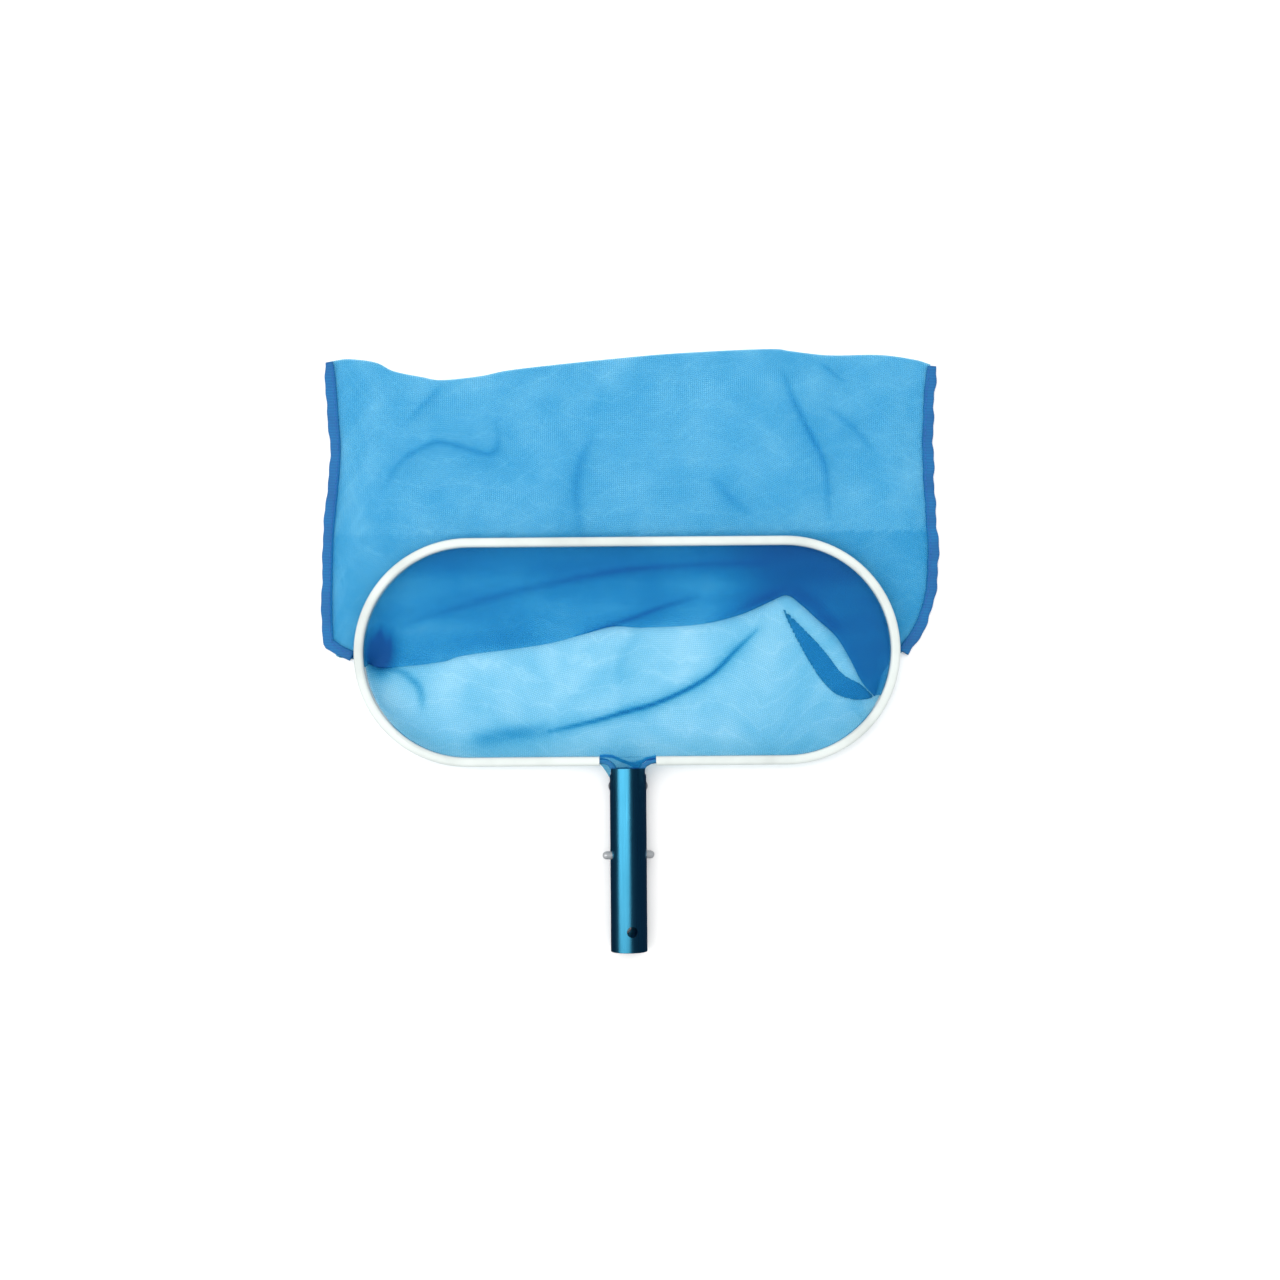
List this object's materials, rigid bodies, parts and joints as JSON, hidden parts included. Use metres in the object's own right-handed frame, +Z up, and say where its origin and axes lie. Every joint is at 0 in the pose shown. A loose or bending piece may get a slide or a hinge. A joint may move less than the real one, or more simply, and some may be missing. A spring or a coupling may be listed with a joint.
{
  "type": "leaf skimmer net",
  "caption": "Deep mesh bag on a flat oval hoop with a plastic edge trim and a tubular handle socket whose sprung side buttons lock into a pole.",
  "frame": {"origin": "centre of the handle tube's open end, on the tube's axis", "axes": "+Y along the tube towards the hoop and the bag, +X to the right seen from above, +Z up; the net lies flat and the floor touches the tube's underside"},
  "size_m": [0.4996, 0.4745, 0.0286],
  "materials": {
    "blue_anodised": "satin blue anodised",
    "bare_aluminium": "mill finish",
    "trim_plastic": "soft off-white, semi-matte",
    "rivet_aluminium": "bright",
    "pin_steel": "broken zinc-plated steel",
    "spring_steel": "rolled spring strip",
    "button_metal": "turned and polished",
    "hem_fabric": "doubled dark blue mesh",
    "mesh_fabric": "sheer light blue woven mesh",
    "binding_fabric": "woven blue tape"
  },
  "bodies": {
    "net": {"handle_tube": "blue_anodised", "frame_rail": "bare_aluminium", "edge_trim": "trim_plastic", "leg_rivet_left": "rivet_aluminium", "leg_rivet_right": "rivet_aluminium", "rivet_pin_left": "pin_steel", "rivet_pin_right": "pin_steel", "clip_bend": "spring_steel", "mouth_hem": "hem_fabric", "bag_front_panel": "mesh_fabric", "bag_back_panel": "mesh_fabric", "side_binding_left": "binding_fabric", "side_binding_right": "binding_fabric"},
    "left_snap": {"clip_arm_left": "spring_steel", "clip_button_left": "button_metal"},
    "right_snap": {"clip_arm_right": "spring_steel", "clip_button_right": "button_metal"}
  },
  "joints": [
    {"name": "left_button_press", "type": "hinge", "parent": "net", "child": "left_snap", "pos_m": [-0.00314, 0.125, 0.00061], "axis": [0.1908, 0, 0.9816], "range_deg": [0, 7.6], "stiffness_Nm_per_rad": 2, "springref_deg": -5.16},
    {"name": "right_button_press", "type": "hinge", "parent": "net", "child": "right_snap", "pos_m": [0.00314, 0.125, -0.00061], "axis": [-0.1908, 0, -0.9816], "range_deg": [0, 7.6], "stiffness_Nm_per_rad": 2, "springref_deg": -5.16}
  ]
}
